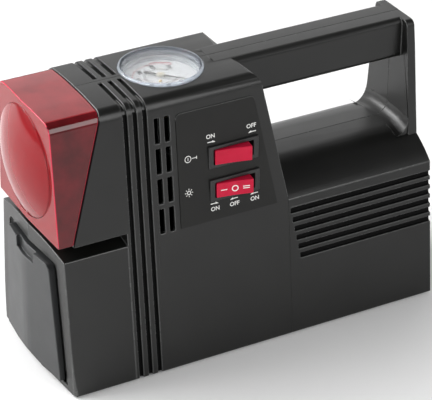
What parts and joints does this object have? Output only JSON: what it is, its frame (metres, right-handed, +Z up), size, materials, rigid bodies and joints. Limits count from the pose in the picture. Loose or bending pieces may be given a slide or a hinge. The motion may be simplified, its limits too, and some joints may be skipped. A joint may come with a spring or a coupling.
{
  "type": "portable air compressor",
  "caption": "Portable 12 V air compressor with top pressure gauge, red lamp, rocker switches, carry handle and hinged storage door.",
  "frame": {"origin": "centre of the footprint, on the plane of the rubber feet", "axes": "+X from the lamp towards the handle, +Y away from the switch panel, +Z up"},
  "size_m": [0.2622, 0.1028, 0.1792],
  "materials": {
    "shell_plastic": "fine-grained satin black",
    "door_plastic": "fine-grained satin black",
    "panel_plastic": "satin black with white marks",
    "switch_plastic": "smooth black",
    "inner_plastic": "plain black",
    "rocker_red": "glossy red",
    "red_lens": "clear red plastic",
    "clear_cover": "clear plastic",
    "bulb_glass": "clear glass",
    "mirror": "bright metallised",
    "dial_white": "printed white",
    "needle_black": "painted black",
    "steel": "zinc plated",
    "brass": "plain",
    "cast_alloy": "as cast",
    "armature": "wound and lacquered",
    "board": "green circuit board",
    "gear_plastic": "natural nylon",
    "pipe_plastic": "black tube",
    "rubber": "plain"
  },
  "bodies": {
    "housing": {"near_shell": "shell_plastic", "far_shell": "shell_plastic", "housing_screws": "steel", "rubber_feet": "rubber", "lamp_lens": "red_lens", "lamp_reflector": "mirror", "lamp_bulb": "bulb_glass", "bulb_holder": "inner_plastic", "flasher_board": "board", "gauge_cover": "clear_cover", "gauge_dial": "dial_white", "gauge_case": "inner_plastic", "bourdon_tube": "brass", "gauge_stem": "brass", "switch_panel": "panel_plastic", "compressor_switch": "switch_plastic", "light_switch": "switch_plastic", "switch_terminals": "brass", "hinge_pin": "steel", "storage_tub": "inner_plastic", "cord_grommet": "rubber", "hose_outlet": "brass", "compressor_frame": "cast_alloy", "motor_can": "steel", "motor_end_cap": "inner_plastic", "motor_screws": "steel", "gear_bush": "brass", "compressor_cylinder": "cast_alloy", "cylinder_head": "cast_alloy", "head_bolts": "steel", "air_pipe": "pipe_plastic"},
    "door": {"storage_door": "door_plastic"},
    "compressor_rocker": {"compressor_rocker": "rocker_red"},
    "light_rocker": {"light_rocker": "rocker_red"},
    "needle": {"gauge_needle": "needle_black"},
    "rotor": {"motor_armature": "armature", "motor_pinion": "brass"},
    "gear": {"drive_gear": "gear_plastic"},
    "piston_set": {"connecting_rod": "cast_alloy", "piston": "cast_alloy", "piston_seal": "rubber"}
  },
  "joints": [
    {"name": "door_hinge", "type": "hinge", "parent": "housing", "child": "door", "pos_m": [-0.1216, 0, 0.0107], "axis": [0, -1, 0], "range_deg": [0, 90]},
    {"name": "compressor_rocker_tilt", "type": "hinge", "parent": "housing", "child": "compressor_rocker", "pos_m": [-0.0069, -0.03609, 0.133], "axis": [0, 0, 1], "range_deg": [0, 24]},
    {"name": "light_rocker_tilt", "type": "hinge", "parent": "housing", "child": "light_rocker", "pos_m": [-0.0069, -0.038, 0.1118], "axis": [0, 0, 1], "range_deg": [0, 24]},
    {"name": "needle_turn", "type": "hinge", "parent": "housing", "child": "needle", "pos_m": [-0.0338, 0, 0.1712], "axis": [0, 0, -1], "range_deg": [0, 270], "stiffness_Nm_per_rad": 0.0002},
    {"name": "gear_spin", "type": "hinge", "parent": "housing", "child": "gear", "pos_m": [0.0386, -0.012, 0.0332], "axis": [1, 0, 0], "continuous": true},
    {"name": "motor_spin", "type": "hinge", "parent": "housing", "child": "rotor", "pos_m": [0.0386, 0.0141, 0.0332], "axis": [1, 0, 0], "continuous": true},
    {"name": "piston_stroke", "type": "slide", "parent": "housing", "child": "piston_set", "axis": [0, 0, 1], "range_m": [0, 0.016]}
  ],
  "couplings": [
    {"joint": "motor_spin", "follows": "gear_spin", "ratio": -4.8}
  ]
}
